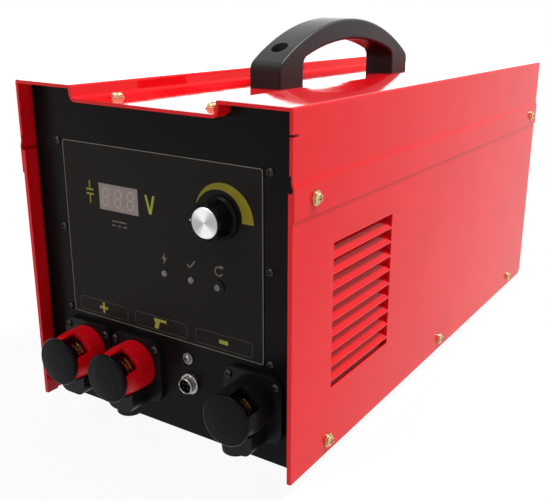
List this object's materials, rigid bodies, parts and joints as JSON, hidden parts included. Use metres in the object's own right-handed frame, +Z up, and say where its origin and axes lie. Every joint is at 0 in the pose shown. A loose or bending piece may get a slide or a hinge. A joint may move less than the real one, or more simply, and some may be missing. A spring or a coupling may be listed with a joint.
{
  "type": "capacitor-discharge stud welder",
  "caption": "Portable capacitor-discharge stud welding power source in a folded sheet case with a bow handle, voltage knob, display and screw-clamp output posts.",
  "frame": {"origin": "middle of the overall box at the ground under the feet", "axes": "+Z up, +Y from the front panel to the rear panel, +X to the right seen from the front"},
  "size_m": [0.248, 0.5366, 0.305],
  "materials": {
    "red_paint": "smooth gloss powder coat",
    "black_paint": "satin powder coat",
    "grey_zinc": "zinc-plated sheet",
    "rubber": "moulded",
    "zinc_steel": "bright zinc",
    "yellow_zinc": "yellow zinc plating",
    "handle_plastic": "fine grain",
    "overlay_film": "fine-grained polyester film",
    "display_plastic": "grey epoxy face",
    "circuit_board": "solder mask",
    "knob_plastic": "moulded",
    "spun_aluminium": "spun",
    "lamp_plastic": "tinted lens, unlit",
    "grey_plastic": "moulded",
    "black_plastic": "moulded",
    "chrome": "plated",
    "black_steel": "black oxide",
    "red_plastic": "moulded",
    "brass": "turned",
    "can_sleeve": "shrink sleeve",
    "phenolic": "laminate",
    "copper": "bare copper bar",
    "core_steel": "varnished laminations",
    "winding": "enamelled wire under tape",
    "aluminium": "extruded",
    "ceramic": "vitreous enamel"
  },
  "bodies": {
    "case": {"top_cover": "red_paint", "left_side_panel": "red_paint", "right_side_panel": "red_paint", "front_panel": "black_paint", "rear_panel": "black_paint", "base_tray": "grey_zinc", "rubber_feet": "rubber", "foot_screws": "zinc_steel", "handle_bolts": "zinc_steel", "earth_screw": "zinc_steel", "terminal_screws": "zinc_steel", "fan_guard": "zinc_steel", "pot_nut": "zinc_steel", "potentiometer": "zinc_steel", "cover_screws": "yellow_zinc", "side_screws": "yellow_zinc", "handle": "handle_plastic", "control_overlay": "overlay_film", "display_module": "display_plastic", "display_board": "circuit_board", "control_board": "circuit_board", "indicator_lamps": "lamp_plastic", "reset_switch": "black_plastic", "socket_insert": "black_plastic", "post_bases": "black_plastic", "minus_guard": "black_plastic", "thyristor": "black_plastic", "fan_frame": "black_plastic", "power_switch": "black_plastic", "cable_gland": "black_plastic", "socket_shell": "chrome", "socket_nut": "chrome", "panel_screws": "black_steel", "post_screws": "black_steel", "plus_guard": "red_plastic", "gun_guard": "red_plastic", "post_studs": "brass", "post_nuts": "brass", "board_standoffs": "brass", "capacitor_bank": "can_sleeve", "capacitor_frame": "phenolic", "positive_busbar": "copper", "negative_busbar": "copper", "gun_link": "copper", "transformer_core": "core_steel", "transformer_coil": "winding", "heatsink": "aluminium", "discharge_resistor": "ceramic"},
    "voltage_knob": {"knob_body": "knob_plastic", "knob_cap": "spun_aluminium", "pot_shaft": "zinc_steel"},
    "reset_button": {"reset_button": "grey_plastic"},
    "fan": {"fan_rotor": "black_plastic"},
    "rocker": {"power_rocker": "black_plastic"},
    "plus_slider": {"plus_washer": "brass"},
    "plus_knob": {"plus_clamp": "knob_plastic"},
    "gun_slider": {"gun_washer": "brass"},
    "gun_knob": {"gun_clamp": "knob_plastic"},
    "minus_slider": {"minus_washer": "brass"},
    "minus_knob": {"minus_clamp": "knob_plastic"}
  },
  "joints": [
    {"name": "voltage_turn", "type": "hinge", "parent": "case", "child": "voltage_knob", "pos_m": [0.0552, -0.2327, 0.18224], "axis": [0, 1, 0], "range_deg": [-60, 240]},
    {"name": "reset_press", "type": "slide", "parent": "case", "child": "reset_button", "axis": [0, 1, 0], "range_m": [0, 0.0012], "stiffness_N_per_m": 300},
    {"name": "fan_spin", "type": "hinge", "parent": "case", "child": "fan", "pos_m": [0, 0.2333, 0.16], "axis": [0, 1, 0], "continuous": true},
    {"name": "rocker_tilt", "type": "hinge", "parent": "case", "child": "rocker", "pos_m": [-0.076, 0.2483, 0.178], "axis": [1, 0, 0], "range_deg": [-22, 0]},
    {"name": "plus_feed", "type": "slide", "parent": "case", "child": "plus_slider", "axis": [0, -1, 0], "range_m": [-0.00137, 0.006]},
    {"name": "plus_turn", "type": "hinge", "parent": "plus_slider", "child": "plus_knob", "pos_m": [-0.074, -0.2627, 0.0575], "axis": [0, -1, 0], "range_deg": [-332, 1442]},
    {"name": "gun_feed", "type": "slide", "parent": "case", "child": "gun_slider", "axis": [0, -1, 0], "range_m": [-0.00137, 0.006]},
    {"name": "gun_turn", "type": "hinge", "parent": "gun_slider", "child": "gun_knob", "pos_m": [-0.0245, -0.2627, 0.0575], "axis": [0, -1, 0], "range_deg": [-332, 1442]},
    {"name": "minus_feed", "type": "slide", "parent": "case", "child": "minus_slider", "axis": [0, -1, 0], "range_m": [-0.00137, 0.006]},
    {"name": "minus_turn", "type": "hinge", "parent": "minus_slider", "child": "minus_knob", "pos_m": [0.0817, -0.2627, 0.0575], "axis": [0, -1, 0], "range_deg": [-332, 1442]}
  ],
  "couplings": [
    {"joint": "plus_turn", "follows": "plus_feed", "rad_per_m": 4188.8},
    {"joint": "gun_turn", "follows": "gun_feed", "rad_per_m": 4188.8},
    {"joint": "minus_turn", "follows": "minus_feed", "rad_per_m": 4188.8}
  ]
}
